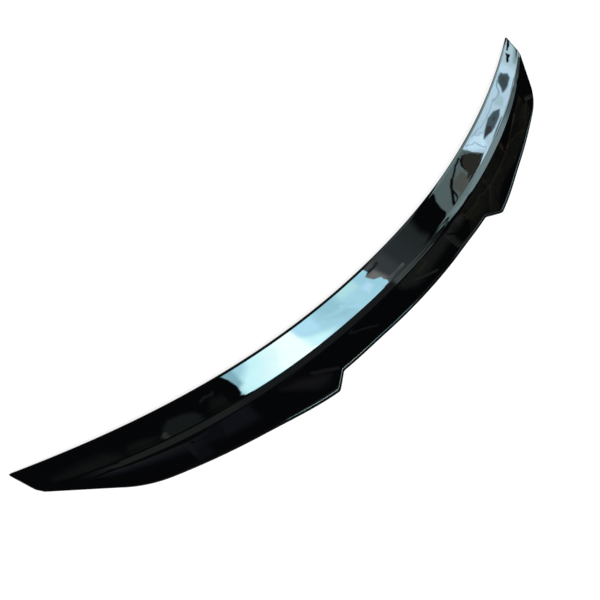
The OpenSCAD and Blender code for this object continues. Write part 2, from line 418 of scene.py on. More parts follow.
# %% Section of the underside: the flange, the hollow or a web, and the front land
WALL = 2.8
FRONT_LAND = 13
REAR_FLANGE = 15
FLANGE_T = 2.8
LIP_SOLID = 2.2 * LIP_T
CREASE_WALL = 1.1 * WALL
REAR_WALL = 1.2 * WALL
FACE_UPPER = 0.8
FACE_LOWER = 0.45
END_WALL = 1.2 * WALL
SETBACK_LENGTH = 0.11 * HALF
SETBACK_POWER = 0.6
TIP_STATION = np.array([HALF])
END_OUT = outward(front_line(TIP_STATION) - lip_at(TIP_STATION))


def setback(x):
    """How far the hollow stays inside the slanted end, growing by a power of the way to it."""
    into = np.maximum(0, x - HALF + SETBACK_LENGTH) / SETBACK_LENGTH
    return -scaled(END_OUT, END_WALL * into ** SETBACK_POWER)


def sole_at(x):
    """The underside of the front edge."""
    return raised(front_at(x), -FRONT_EDGE_T)


def inward_at(x):
    """The direction in plan from the foot to the front edge."""
    return unit(flat(sole_at(x) - foot_at(x)))


def flange_at(x):
    """The flange's inner edge."""
    return foot_at(x) + inward_at(x) * REAR_FLANGE


def land_at(x, width):
    """The land's point that lies this far from the sole, on the straight way to the flange."""
    sole = sole_at(x)
    return sole + unit(flange_at(x) - sole) * width


def hollow_rows(x):
    """Rows of the open underside, from the flange up the inside of the rear face and forward
    under the skin to the land, all shifted by the setback."""
    front, crease, lip = front_at(x), crease_at(x), lip_at(x)
    land, flange, inward = land_at(x, FRONT_LAND), flange_at(x), inward_at(x)
    share = (np.linalg.norm(flat(land - front), axis=-1)
             / np.linalg.norm(flat(crease - front), axis=-1))
    roof = blend(front, crease, share)
    rows = [flange, raised(flange, FLANGE_T), raised(foot_at(x) + inward * WALL, FLANGE_T),
            rear_face(x, FACE_LOWER) + inward * WALL, rear_face(x, FACE_UPPER) + inward * WALL,
            raised(lip + unit(crease - lip) * LIP_SOLID, -REAR_WALL),
            raised(crease, -CREASE_WALL), raised(blend(roof, crease, 0.5), -WALL),
            raised(roof, -WALL), land]
    return [row + setback(x) for row in rows]


def web_rows(x):
    """As many rows laid straight from flange to land, where a rib or an end wall closes it."""
    return [blend(flange_at(x), land_at(x, FRONT_LAND), t) for t in steps(9)]


def nose_rows(x):
    """Rows under the front edge, from the sole round its lower corner toward the nose."""
    start, sole = land_at(x, FRONT_EDGE_T), sole_at(x)
    return [bend(start, sole, raised(sole, FRONT_EDGE_T / 2), t) for t in steps(4)[:-1]]


print("underside rows:", len(hollow_rows(TIP_STATION)), "hollow,",
      len(web_rows(TIP_STATION)), "web,", len(nose_rows(TIP_STATION)), "nose")

# %% [markdown]
# Ten thin ribs stiffen the hollow, and are thinner at its open side so that they leave the mould.
# They could be boxes joined on by a Boolean. In a loft each costs just four stations: two open ones
# at its foot and, a little inside them, two where the section is closed.

# %% Stations along the span, with a pair of closed ones at each rib
RIB_COUNT = 10
RIB_T = 2.2
RIB_DRAFT = 0.4
END_BAYS = 0.8
RIB_PITCH = SPAN / (RIB_COUNT + END_BAYS)
STATION_GAP = 2.6
EDGE_ROUND = 1.4
LAST_OPEN = HALF - EDGE_ROUND
TIP_STATIONS = 7

rib_places = (np.arange(RIB_COUNT) - (RIB_COUNT - 1) / 2) * RIB_PITCH
foot_half = RIB_T / 2 + RIB_DRAFT
plain = np.linspace(-LAST_OPEN, LAST_OPEN, int(SPAN / STATION_GAP) + 1)
tips = np.linspace(HALF - TIP_ROUND, LAST_OPEN, TIP_STATIONS)
plain = np.concatenate([plain[np.abs(plain) < tips[0]], tips, -tips])
plain = plain[np.abs(plain[:, None] - rib_places).min(axis=1) > foot_half + STATION_GAP / 2]
closed = np.concatenate([rib_places - RIB_T / 2, rib_places + RIB_T / 2])
drafted = np.concatenate([rib_places - foot_half, rib_places + foot_half])
stations = np.concatenate([plain, drafted, closed])
is_closed = np.concatenate([np.zeros(len(plain) + len(drafted), bool), np.ones(len(closed), bool)])
order = np.argsort(stations)
stations = stations[order]
is_closed = is_closed[order]
print(len(stations), "stations,", RIB_COUNT, "ribs")

# %% The skin as one grid: stations along the span, rows round the section
END_DROP = 1.0
END_WALL_DRAFT = 0.8
END_TURNS = np.radians([15, 30, 45, 60, 75, 90])


def rounded_end(side):
    """Loops past the last open station, whose places follow the sine of a quarter turn while
    their upper side is lowered by one minus its cosine. The nose, half the edge's thickness up,
    is lowered half as much. The web moves out from the end wall's inner face."""
    x = HALF - EDGE_ROUND * (1 - np.sin(END_TURNS))
    drop = -END_DROP * (1 - np.cos(END_TURNS))
    sole = front_at(x)[:, 2] - FRONT_EDGE_T
    into = scaled(setback(x), END_WALL_DRAFT * np.linspace(1, 0, len(x)))
    rows = ([raised(row, drop * np.clip((row[:, 2] - sole) / FRONT_EDGE_T, 0, 1))
             for row in top_rows(x)]
            + rear_rows(x) + [row + into for row in web_rows(x)] + nose_rows(x))
    loops = np.stack(rows, axis=1)
    loops[..., 0] *= side
    return loops


def skin_grid():
    """All loops of the moulding, the far half mirrored from the formulas for x above nought."""
    x = np.abs(stations)
    under = np.where(is_closed[:, None, None], np.stack(web_rows(x), axis=1),
                     np.stack(hollow_rows(x), axis=1))
    grid = np.concatenate([np.stack(top_rows(x), axis=1), np.stack(rear_rows(x), axis=1), under,
                           np.stack(nose_rows(x), axis=1)], axis=1)
    grid[..., 0] *= np.where(stations < 0, -1, 1)[:, None]
    return np.concatenate([rounded_end(-1)[::-1], grid, rounded_end(1)])


def placed(p):
    """Turns [x, reach, z] in millimetres into the model's own frame in metres. The foremost
    reach lies on the front of the box."""
    return np.stack([p[..., 0], CAD_BOX[1].y / MM + foremost - p[..., 1], p[..., 2]], axis=-1) * MM


skin_plan = skin_grid()
foremost = skin_plan[..., 1].min()
skin = placed(skin_plan)
print("skin grid:", skin.shape)

# %% [markdown]
# A grid of points becomes a closed mesh when each loop is joined to the next and the two last
# loops are capped. An end loop is hollow at the crease and doesn't lie in one plane, so one big
# face there would be cut up at random, with slivers above the skin. A strip of triangles that
# zips the upper side to the lower one keeps to the end. Only the outside is painted, and the
# hollow shows the bare moulding, so each face is given one of two materials by its row. Blender
# then shades it smooth and keeps the edges sharper than 30 degrees, so the curves look curved and
# the ribs stay crisp.

# %% The moulding's mesh
def end_cap(loop, index, upper):
    """A strip of triangles that closes a loop, whose first points are its upper side. Both sides
    are walked from the nose, by the distance along the end, and each point is joined to the last
    one before it on either side."""
    plan = loop[:, :2] - loop[0, :2]
    along = plan @ unit(plan[np.argmax(np.linalg.norm(plan, axis=1))])
    walk = np.concatenate([np.arange(upper), np.arange(upper, len(loop))[::-1]])
    reached = np.concatenate([np.maximum.accumulate(along[walk[:upper]]),
                              np.maximum.accumulate(along[walk[upper:]])])
    reached[[0, upper]] = -np.inf
    order = walk[np.argsort(reached, kind="stable")]
    position = np.arange(len(loop))
    last_upper = np.maximum.accumulate(np.where(order < upper, position, -1))[:-1]
    last_lower = np.maximum.accumulate(np.where(order < upper, -1, position))[:-1]
    begun = (last_upper >= 0) & (last_lower >= 0)
    corners = np.stack([order[last_upper], order[1:], order[last_lower]], axis=-1)[begun]
    return index[corners]


def loft_mesh(name, grid, upper):
    """Joins neighbouring loops with quads that face outward, and caps both ends. The number of a
    loop's points that make its upper side is given."""
    loops, rows = grid.shape[:2]
    index = np.arange(loops * rows).reshape(loops, rows)
    following = np.roll(index, -1, axis=1)
    quads = np.stack([index[:-1], following[:-1], following[1:], index[1:]], axis=-1).reshape(-1, 4)
    caps = np.concatenate([end_cap(grid[0], index[0], upper)[:, ::-1],
                           end_cap(grid[-1], index[-1], upper)])
    mesh = bpy.data.meshes.new(name)
    mesh.from_pydata(grid.reshape(-1, 3).tolist(), [], quads.tolist() + caps.tolist())
    mesh.update()
    return mesh


def volume_of(mesh):
    """The enclosed volume: a sixth of the sum of all triangles' triple products a . (b x c)."""
    mesh.calc_loop_triangles()
    corners = np.empty(3 * len(mesh.loop_triangles), np.int32)
    mesh.loop_triangles.foreach_get("vertices", corners)
    place = np.empty(3 * len(mesh.vertices), np.float32)
    mesh.vertices.foreach_get("co", place)
    a, b, c = (place.reshape(-1, 3)[corners[i::3]].astype(float) for i in range(3))
    return np.sum(a * np.cross(b, c)) / 6


SHARP_ANGLE = 30
outside_rows = len(top_rows(TIP_STATION)) + len(rear_rows(TIP_STATION))
shell_mesh = loft_mesh("spoiler_skin", skin, outside_rows)
shell_mesh.shade_smooth()
shell_mesh.set_sharp_from_angle(angle=math.radians(SHARP_ANGLE))
shell = bpy.data.objects.new("spoiler_skin", shell_mesh)
bpy.context.scene.collection.objects.link(shell)
print("faces: %d, volume %.2f litres" % (len(shell_mesh.polygons), volume_of(shell_mesh) * 1000))

# %% Painted and bare faces
row_of_face = np.tile(np.arange(skin.shape[1]), skin.shape[0] - 1)
bare_rows = len(web_rows(TIP_STATION))
is_bare = (row_of_face >= outside_rows - 1) & (row_of_face < outside_rows + bare_rows)
face_material = np.zeros(len(shell_mesh.polygons), np.int32)
face_material[:len(is_bare)] = is_bare
shell_mesh.polygons.foreach_set("material_index", face_material)
print("bare faces:", int(is_bare.sum()))

# %% [markdown]
# The finish is what the photograph shows most: black lacquer polished until it mirrors the room.
# A black colour alone would look like soot. What makes it lacquer is a clear coat over a black
# base, both nearly mirror smooth, with the very faint waviness that sprayed paint keeps. The
# waves are a bump of a thousandth of a millimetre, and a slow change in roughness stands for the
# haze that wiping leaves.

# %% Helpers for node materials
def new_material(name):
    """An empty node material with its shader, and the two collections to add nodes and links."""
    material = bpy.data.materials.new(name)
    material.use_nodes = True
    nodes = material.node_tree.nodes
    shader = nodes["Principled BSDF"]
    return material, nodes, material.node_tree.links, shader


def noise(nodes, links, scale, detail=2.0):
    """A noise texture on the object's own coordinates, with the scale in waves per metre."""
    place = nodes.new("ShaderNodeTexCoord")
    texture = nodes.new("ShaderNodeTexNoise")
    texture.inputs["Scale"].default_value = scale
    texture.inputs["Detail"].default_value = detail
    links.new(place.outputs["Object"], texture.inputs["Vector"])
    return texture.outputs["Fac"]


def mapped(nodes, links, value, low, high, start=0.0, end=1.0):
    """A value from start to end turned into one from low to high."""
    node = nodes.new("ShaderNodeMapRange")
    for name, number in zip(("From Min", "From Max", "To Min", "To Max"), (start, end, low, high)):
        node.inputs[name].default_value = number
    links.new(value, node.inputs["Value"])
    return node.outputs["Result"]


def combined(nodes, links, operation, first, second):
    """Two values combined by an operation, such as their product or the greater one."""
    node = nodes.new("ShaderNodeMath")
    node.operation = operation
    links.new(first, node.inputs[0])
    links.new(second, node.inputs[1])
    return node.outputs[0]


def bump(nodes, links, height, distance, strength=1.0):
    """A bump whose full height is the given distance in metres, weakened below a strength of 1."""
    node = nodes.new("ShaderNodeBump")
    node.inputs["Distance"].default_value = distance
    node.inputs["Strength"].default_value = strength
    links.new(height, node.inputs["Height"])
    return node.outputs["Normal"]


# %% Gloss-black lacquer
PEEL_WAVES = 90
PEEL_HEIGHT = 0.000001
HAZE_WAVES = 14
HAZE_ROUGHNESS = 0.008


def gloss_black():
    """Black base under a clear coat, faint orange peel, and roughness that drifts with haze."""
    material, nodes, links, shader = new_material("gloss_black_lacquer")
    shader.inputs["Base Color"].default_value = (0.0010, 0.0011, 0.0013, 1)
    shader.inputs["IOR"].default_value = 1.5
    shader.inputs["Coat Weight"].default_value = 1.0
    shader.inputs["Coat Roughness"].default_value = 0.0
    shader.inputs["Coat IOR"].default_value = 1.5
    haze = mapped(nodes, links, noise(nodes, links, HAZE_WAVES, 3.0), 0.0, HAZE_ROUGHNESS)
    links.new(haze, shader.inputs["Roughness"])
    peel = bump(nodes, links, noise(nodes, links, PEEL_WAVES, 1.0), PEEL_HEIGHT)
    links.new(peel, shader.inputs["Normal"])
    links.new(peel, shader.inputs["Coat Normal"])
    return material


# %% [markdown]
# Inside, such a moulding stays unpainted: satin plastic with the fine eroded grain of its mould. A
# picture of grain would have to be unwrapped onto it. A noise on the object's own coordinates
# needs no unwrapping and never repeats.

# %% Bare black moulding
WEAR_WAVES = 30
WEAR_ROUGHNESS = (0.42, 0.58)
GRAIN_WAVES = 1400
GRAIN_HEIGHT = 0.00008
GRAIN_STRENGTH = 0.6


def moulded_black():
    """The unpainted inside: satin black plastic with a fine eroded grain."""
    material, nodes, links, shader = new_material("moulded_black_plastic")
    shader.inputs["Base Color"].default_value = (0.018, 0.018, 0.019, 1)
    shader.inputs["IOR"].default_value = 1.5
    wear = mapped(nodes, links, noise(nodes, links, WEAR_WAVES, 3.0), *WEAR_ROUGHNESS)
    links.new(wear, shader.inputs["Roughness"])
    grain = bump(nodes, links, noise(nodes, links, GRAIN_WAVES), GRAIN_HEIGHT, GRAIN_STRENGTH)
    links.new(grain, shader.inputs["Normal"])
    return material


shell_mesh.materials.append(gloss_black())
shell_mesh.materials.append(moulded_black())
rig.ride(shell, "root")
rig.replaces(shell, "spoiler_shell")
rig.slot(shell, "gloss_black_shell")
print("painted with", [m.name for m in shell_mesh.materials])

# %% [markdown]
# The foam tape is already right in shape, so its pieces stay as they come and only get a finish.
# Acrylic foam is matt and dark grey, and its cut edges show fine cells, so a small, sharp noise
# drives both a bump and a slight change of colour.

# %% Foam tape
CELL_WAVES = 1800
CELL_DEPTH = 0.00015


def foam():
    """Matt dark grey foam with fine cells."""
    material, nodes, links, shader = new_material("acrylic_foam")
    cells = noise(nodes, links, CELL_WAVES, 4.0)
    ramp = nodes.new("ShaderNodeValToRGB")
    ramp.color_ramp.elements[0].color = (0.022, 0.023, 0.025, 1)
    ramp.color_ramp.elements[1].color = (0.060, 0.062, 0.066, 1)
    links.new(cells, ramp.inputs["Fac"])
    links.new(ramp.outputs["Color"], shader.inputs["Base Color"])
    shader.inputs["Roughness"].default_value = 0.85
    links.new(bump(nodes, links, cells, CELL_DEPTH), shader.inputs["Normal"])
    return material


foam_material = foam()
tape_nodes = [node for name, node in sorted(frame["nodes"].items()) if "tape" in name]
for tape in tape_nodes:
    tape.data.materials.clear()
    tape.data.materials.append(foam_material)
    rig.slot(tape, "foam_tape")
print("foam on", [tape.name for tape in tape_nodes])

# %% [markdown]
# The camera stands over the near end and looks down along the span, rolled so that the spoiler
# runs up the picture from lower left to upper right. Its place was worked out from the object's
# own mirror symmetry. A roll is easiest as one more turn about the camera's own line of sight.

# %% Camera
CAMERA_PLACE = Vector((-0.7707, -0.0430, 1.0528))
CAMERA_AIM = Vector((-0.1522, 0.0210, 0))
CAMERA_ROLL = 39.22
LENS = 48

camera = bpy.data.objects.new("camera", bpy.data.cameras.new("camera"))
camera.data.lens = LENS
camera.location = CAMERA_PLACE
facing = (CAMERA_AIM - CAMERA_PLACE).to_track_quat("-Z", "Y")
camera.rotation_mode = "QUATERNION"
camera.rotation_quaternion = facing @ Quaternion((0, 0, 1), math.radians(CAMERA_ROLL))
bpy.context.scene.collection.objects.link(camera)
bpy.context.scene.camera = camera
print("camera looks along", [round(c, 3) for c in (CAMERA_AIM - CAMERA_PLACE).normalized()])

# %% [markdown]
# Mirror gloss has no colour of its own: the picture is made by what stands around it. The studio
# is dark overhead and pale near the horizon, and softboxes hang flat under the ceiling. Placing
# them by eye would take a hundred tries. The law of reflection does it at once: follow a ray from
# the camera to a spot on the shell, mirror it there, and see where it ends on the ceiling. A grid
# of spots on one band then gives the plan of the softbox that this band shows.

# %% Where a band of the shell mirrors the ceiling
CEILING = 2.5
FRONT_RIM = 3.2
PROBE_X = 0.5
PROBE_T = 0.01


def band_point(band, x, t):
    """The shell's spot at x along the span and share t across a band, in metres."""
    station = np.abs(x)
    front, crease, lip = front_at(station), crease_at(station), lip_at(station)
    forward, rearward = unit(front - crease), unit(lip - crease)
    rim = CREASE_STRIP / 2 + CREASE_SOFT
    first, last = {"front": (front - forward * FRONT_RIM, crease + forward * rim),
                   "strip": (crease + forward * CREASE_STRIP / 2,
                             crease + rearward * CREASE_STRIP / 2),
                   "rear": (crease + rearward * rim, lip - rearward * LIP_ROUND)}[band]
    spot = blend(first, last, t)
    spot[..., 0] *= np.where(x < 0, -1, 1)
    return placed(spot)


def mirrored(band, x, t, height):
    """Where the mirrored ray is at a height. A ray along d that meets the normal n leaves along
    d - 2 (d . n) n, and gets there after (height - spot's z) / direction's z. The normal stands
    square to the ways between neighbouring spots."""
    along = band_point(band, x + PROBE_X, t) - band_point(band, x - PROBE_X, t)
    across = band_point(band, x, t + PROBE_T) - band_point(band, x, t - PROBE_T)
    normal = unit(np.cross(along, across))
    spot = band_point(band, x, t)
    ray = unit(spot - np.array(CAMERA_PLACE))
    ray = ray - 2 * np.sum(ray * normal, axis=-1, keepdims=True) * normal
    return spot + ray * ((height - spot[..., 2:]) / ray[..., 2:])


print("mid span mirrors the ceiling at",
      np.round(mirrored("front", np.array([0.0]), np.array([0.5]), CEILING), 2))

# %% [markdown]
# A softbox is rarely even. Its diffuser wrinkles, and studios hang dark flags and coloured gels
# before it to give a black surface some life. Both are drawn here as soft-edged patches and
# strokes, in the same two coordinates as the band that mirrors them: millimetres along the span,
# and the share across the band, which counts as 45 mm wide wherever a distance is measured.

# %% Patches and strokes of light
BAND_WIDTH = 45


def edge_distance(place, corners, closed):
    """The distance in millimetres from each place to the nearest straight bit of an outline."""
    nearest = np.full(place.shape[:2], np.inf)
    followers = corners[1:] + corners[:1] if closed else corners[1:]
    for start, end in zip(np.array(corners, float), np.array(followers, float)):
        start, end = start * (1, BAND_WIDTH), end * (1, BAND_WIDTH)
        share = np.clip(((place - start) @ (end - start)) / np.sum((end - start) ** 2), 0, 1)
        away = place - start - share[..., None] * (end - start)
        nearest = np.minimum(nearest, np.linalg.norm(away, axis=-1))
    return nearest


def patch(corners, soft=3.0):
    """A mask of an area: 1 inside its outline, falling to 0 across a rim of width soft. A place
    is inside when a line from it crosses the outline an odd number of times."""
    def mask(place):
        x, y = place[..., 0], place[..., 1]
        inside = np.zeros(x.shape, bool)
        for (x0, t0), (x1, t1) in zip(corners, corners[1:] + corners[:1]):
            y0, y1 = t0 * BAND_WIDTH, t1 * BAND_WIDTH
            if y0 != y1:
                inside ^= ((y0 > y) != (y1 > y)) & (x < x0 + (y - y0) / (y1 - y0) * (x1 - x0))
        signed = np.where(inside, 1, -1) * edge_distance(place, corners, True)
        return bell(np.clip(0.5 - signed / soft, 0, 1))

    return mask


def slab(start, high_start, high_end, end, soft, low=-0.6, high=1.6):
    """A patch right across the band, between two ends that may be slanted."""
    return patch([(start, low), (high_start, high), (high_end, high), (end, low)], soft)


def stroke(corners, width):
    """A mask of a crooked line, 1 along its middle and 0 past its half width."""
    def mask(place):
        return np.clip(2 - 4 * edge_distance(place, corners, False) / width, 0, 1)

    return mask


print("a patch reads", patch([(0, 0), (10, 0), (10, 1), (0, 1)])(np.array([[[5.0, 20.0]]])))

# %% A softbox for one band
SHEET_STEP = 1.5
SHEET_ROWS = 57
CLOUD_WAVES = 9
FOLD_WAVES = 45


def glow(name, clouds):
    """An emission in the colour of the light attribute, whose strength drifts with clouds of
    noise and with finer folds of it, as on a wrinkled diffuser."""
    material = bpy.data.materials.new(name)
    material.use_nodes = True
    nodes, links = material.node_tree.nodes, material.node_tree.links
    nodes.clear()
    lamp = nodes.new("ShaderNodeEmission")
    light = nodes.new("ShaderNodeAttribute")
    light.attribute_name = "light"
    links.new(light.outputs["Color"], lamp.inputs["Color"])
    wide, fine = noise(nodes, links, CLOUD_WAVES, 3.0), noise(nodes, links, FOLD_WAVES)
    cloud = mapped(nodes, links, wide, 1 - clouds, 1 + clouds)
    folds = mapped(nodes, links, fine, 1 - clouds / 2, 1 + clouds / 2)
    links.new(combined(nodes, links, "MULTIPLY", cloud, folds), lamp.inputs["Strength"])
    target = nodes.new("ShaderNodeOutputMaterial")
    links.new(lamp.outputs["Emission"], target.inputs["Surface"])
    return material


def grid_mesh(name, grid):
    """A sheet: a grid of points whose neighbours are joined with quads."""
    rows, columns = grid.shape[:2]
    index = np.arange(rows * columns).reshape(rows, columns)
    quads = np.stack([index[:-1, :-1], index[1:, :-1], index[1:, 1:], index[:-1, 1:]], axis=-1)
    mesh = bpy.data.meshes.new(name)
    mesh.from_pydata(grid.reshape(-1, 3).tolist(), [], quads.reshape(-1, 4).tolist())
    mesh.update()
    return mesh


def staged(name, mesh, material):
    """Adds a mesh to the stage, unseen by the camera itself but mirrored in gloss."""
    mesh.materials.append(material)
    thing = bpy.data.objects.new(name, mesh)
    thing.visible_camera = False
    bpy.context.scene.collection.objects.link(thing)
    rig.stage(thing)
    return thing


def softbox(name, band, span, shares, layers, clouds=0.0, height=CEILING):
    """A glowing sheet where a band mirrors the ceiling. Its light starts at nought, and each
    layer's mask m turns it into (1 - m) times itself plus m times the layer's own light. The
    rounded edge of the crease mirrors what lies between the sheets of the two bands beside it,
    so its sheet is stretched from one to the other."""
    x = np.linspace(*span, int((span[1] - span[0]) / SHEET_STEP))[:, None]
    t = np.linspace(*shares, SHEET_ROWS)[None]
    x, t = np.broadcast_arrays(x, t)
    if band == "edge":
        sheet = blend(mirrored("front", x, x * 0, height), mirrored("strip", x, x * 0, height), t)
    else:
        sheet = mirrored(band, x, t, height)
    mesh = grid_mesh(name, sheet)
    place = np.stack([x, t * BAND_WIDTH], axis=-1)
    light = np.zeros(x.shape + (4,))
    for mask, colour in layers:
        light += mask(place)[..., None] * (np.array(colour + (1,)) - light)
    light[..., 3] = 1
    mesh.attributes.new("light", "FLOAT_COLOR", "POINT").data.foreach_set("color", light.ravel())
    print("%s: %.2f by %.2f m, %.2f m up" % (name, *np.ptp(sheet, axis=(0, 1))[:2], height))
    return staged(name, mesh, glow(name, clouds))


# %% [markdown]
# The front band mirrors two softboxes with a dark stretch between them: the near one a bright,
# wrinkled cloth with dusk beyond, the far one part teal and part blue, with dark flags before it.

# %% The near softbox and the dusk beyond it
softbox("near_softbox", "front", (-600, 152), (-0.15, 1.15), [
    # faint shapes toward the near tip
    (patch([(-458, 0.9), (-448, 0.62), (-436, 0.45), (-415, 0.5), (-402, 0.64), (-398, 0.84),
            (-404, 0.95), (-440, 0.98)], 8), (0.07, 0.095, 0.087)),
    (patch([(-460, 0.9), (-452, 0.76), (-449, 0.86), (-454, 0.93)], 4), (0.28, 0.32, 0.3)),
    (patch([(-505, 0.86), (-498, 0.66), (-476, 0.7), (-462, 0.84), (-480, 0.93)], 12),
     (0.045, 0.055, 0.05)),
    (patch([(-385, 0.85), (-372, 0.5), (-352, 0.6), (-350, 0.85), (-365, 0.93)], 12),
     (0.035, 0.045, 0.04)),
    (patch([(-600, 1.3), (-600, 0.85), (-560, 0.62), (-530, 0.6), (-515, 0.85), (-515, 1.3)], 24),
     (0.045, 0.055, 0.05)),
    (stroke([(-385, 0.42), (-376, 0.35), (-366, 0.4), (-363, 0.33)], 5), (0.07, 0.08, 0.075)),
    # dusk beyond the bright cloth, lighter toward it
    (patch([(-50, -0.3), (-50, 1.3), (104, 1.3), (92, 0.6), (106, -0.3)], 26), (0.15, 0.2, 0.2)),
    (slab(-50, -50, 52, 60, 50, -0.3, 1.3), (0.2, 0.26, 0.29)),
    (slab(-50, -50, 12, 14, 24, -0.3, 1.3), (0.36, 0.43, 0.47)),
    (patch([(-60, -0.3), (-60, 1.3), (-12, 1.3), (-22, 0.5), (-14, -0.3)], 16), (0.6, 0.7, 0.75)),
    (patch([(-50, 0.25), (-50, 0.95), (-20, 0.9), (-22, 0.6), (-26, 0.3)], 12), (1.6, 1.7, 1.6)),
    (stroke([(-28, 0.9), (0, 0.96), (20, 0.93)], 7), (0.75, 0.85, 0.85)),
    (stroke([(-40, 0.22), (-22, 0.24), (-10, 0.2)], 6), (0.12, 0.14, 0.15)),
    # the bright cloth, and its whiter middle in three steps
    (patch([(-334, -0.2), (-334, 1.2), (-20, 1.2), (-22, 0.98), (-28, 0.8), (-27, 0.68),
            (-40, 0.56), (-44, 0.4), (-46, 0.28), (-36, 0.2), (-38, -0.2)], 2.5), (3.7, 7, 8.4)),
    (patch([(-334, -0.3), (-334, 1.3), (-60, 1.3), (-70, 0.6), (-75, -0.3)], 40),
     (4.2, 7.6, 9)),
    (patch([(-334, 1.3), (-330, 0.7), (-300, 0.2), (-292, -0.3), (-206, -0.3), (-206, 0.45),
            (-188, 0.62), (-150, 1), (-140, 1.3)], 18), (7.2, 11.3, 11.8)),
    (patch([(-300, 1.3), (-294, 0.8), (-272, 0.3), (-266, -0.3), (-215, -0.3), (-212, 0.45),
            (-210, 0.8), (-206, 1.3)], 40), (9, 12, 12.2)),
    (patch([(-268, 1.3), (-262, 0.8), (-246, 0.3), (-242, -0.3), (-210, -0.3), (-207, 0.45),
            (-206, 0.8), (-204, 1.3)], 16), (10.6, 12.6, 12.4)),
    # folds in the cloth, and its ragged near end
    (patch([(-206, -0.3), (-206, 0.35), (-190, 0.6), (-170, 0.6), (-165, -0.3)], 14),
     (5, 8.7, 10.6)),
    (patch([(-160, -0.3), (-150, 0.5), (-125, 0.9), (-104, 0.9), (-112, 0.4), (-118, -0.3)], 22),
     (3.5, 6.6, 7.8)),
    (patch([(-112, -0.3), (-106, 0.3), (-68, 0.36), (-66, -0.3)], 12), (5, 8.6, 9)),
    (patch([(-70, 0.45), (-66, 0.8), (-48, 0.7), (-50, 0.45)], 10), (5, 8, 9.9)),
    (patch([(-336, -0.3), (-336, 0.75), (-322, 0.6), (-316, -0.3)], 10), (2.6, 5, 5.9)),
    (stroke([(-118, 0.5), (-92, 0.95), (-84, 1.15)], 9), (4.3, 7.8, 9.4)),
    (patch([(-356, -0.3), (-346, -0.3), (-337, 0.06), (-333, 0.25), (-331, 0.6), (-334, 0.86),
            (-341, 0.97), (-356, 1)], 2), (0, 0, 0)),
    (stroke([(-160, 0.35), (-130, 0.55), (-100, 0.62)], 9), (4, 7.3, 8.7)),
], clouds=0.05)

# %% The far softbox, with its dark flags
tip_haze = (patch([(548, -0.3), (560, 0.4), (566, 1), (600, 1.7), (640, 1.7), (640, -0.3)], 20),
            (3.1, 4.4, 5))
softbox("far_softbox", "front", (155, 585), (0, 1.6), [
    # the teal part, with a grey patch and a forked black line
    (patch([(184, -0.3), (180, 0.15), (170, 0.35), (164, 0.7), (163, 1.3), (340, 1.3),
            (340, -0.3)], 3), (0.85, 1.2, 1.22)),
    (patch([(216, 0.62), (222, 0.48), (245, 0.42), (262, 0.5), (262, 0.9), (220, 1)], 8),
     (0.7, 0.78, 0.7)),
    (stroke([(283, 0.11), (262, 0.17), (247, 0.28), (230, 0.36)], 5), (0, 0, 0)),
    (stroke([(232, 0.35), (218, 0.48), (208, 0.66), (196, 0.85), (190, 0.93)], 8), (0, 0, 0)),
    (stroke([(212, 0.66), (210, 0.82), (206, 0.96)], 7), (0, 0, 0)),
    # the dark flag between teal and blue
    (patch([(254, 0.84), (268, 0.74), (271, 0.45), (280, 0.2), (300, 0.18), (312, 0.45),
            (320, 0.7), (328, 0.88), (300, 0.95), (272, 0.95)], 3), (0.2, 0.2, 0.17)),
    (stroke([(270, 0.56), (274, 0.36), (281, 0.23), (292, 0.19)], 6), (0.01, 0.01, 0.01)),
    (stroke([(272, 0.97), (290, 0.97)], 3), (0.01, 0.01, 0.01)),
    # the blue part and its creases
    (patch([(306, -0.3), (308, 0.1), (314, 0.4), (324, 0.7), (330, 0.88), (338, 0.98),
            (400, 1.06), (520, 1.04), (565, 1.1), (600, 1.7), (640, 1.7), (640, -0.3)], 3),
     (3.9, 5.5, 6.6)),
    (patch([(312, 0.1), (322, 0.5), (338, 0.8), (352, 0.85), (366, 0.5), (350, 0.2)], 12),
     (5.2, 7.4, 8.8)),
    (stroke([(318, 0.1), (330, 0.3), (338, 0.36), (342, 0.75), (348, 0.9)], 3.5),
     (3, 4.4, 5.4)),
    (stroke([(345, 0.12), (372, 0.22), (380, 0.3), (420, 0.34), (452, 0.3), (458, 0.36)], 3.5),
     (2.7, 4.1, 5)),
    (stroke([(352, 0.2), (358, 0.34), (368, 0.38), (372, 0.48)], 3), (3, 4.4, 5.3)),
    (stroke([(455, 0.3), (470, 0.45), (486, 0.42), (492, 0.22), (506, 0.14)], 6),
     (2, 3.2, 3.8)),
    (patch([(448, 0.42), (458, 0.36), (484, 0.5), (478, 0.8), (458, 0.86)], 10),
     (3, 4.5, 5)),
    # two dark flags in it, each with a darker part
    (patch([(358, 0.64), (372, 0.54), (388, 0.46), (408, 0.4), (432, 0.5), (450, 0.76),
            (432, 0.87), (400, 0.86), (384, 0.8), (370, 0.7)], 4), (0.5, 0.82, 0.97)),
    (patch([(360, 0.64), (376, 0.54), (392, 0.5), (398, 0.7), (390, 0.8), (374, 0.72)], 5),
     (0.32, 0.36, 0.42)),
    (patch([(410, 0.62), (422, 0.6), (426, 0.7), (414, 0.74)], 4), (0.32, 0.55, 0.6)),
    (patch([(488, 0.62), (497, 0.46), (504, 0.2), (516, 0.12), (530, 0.18), (534, 0.36),
            (543, 0.58), (538, 0.78), (512, 0.78), (500, 0.72)], 6), (0.45, 0.72, 0.84)),
    (patch([(500, 0.6), (508, 0.3), (524, 0.3), (530, 0.6), (516, 0.72)], 8),
     (0.36, 0.56, 0.62)),
    tip_haze,
], clouds=0.1)

# %% [markdown]
# The far tip is hollowed a little along its length, so the rays that it mirrors cross before they
# reach the ceiling, and a sheet up there would lie over itself. Low down they haven't crossed yet.
# So the tip gets a low sheet of its own, which casts no shadow and lights nothing but gloss.

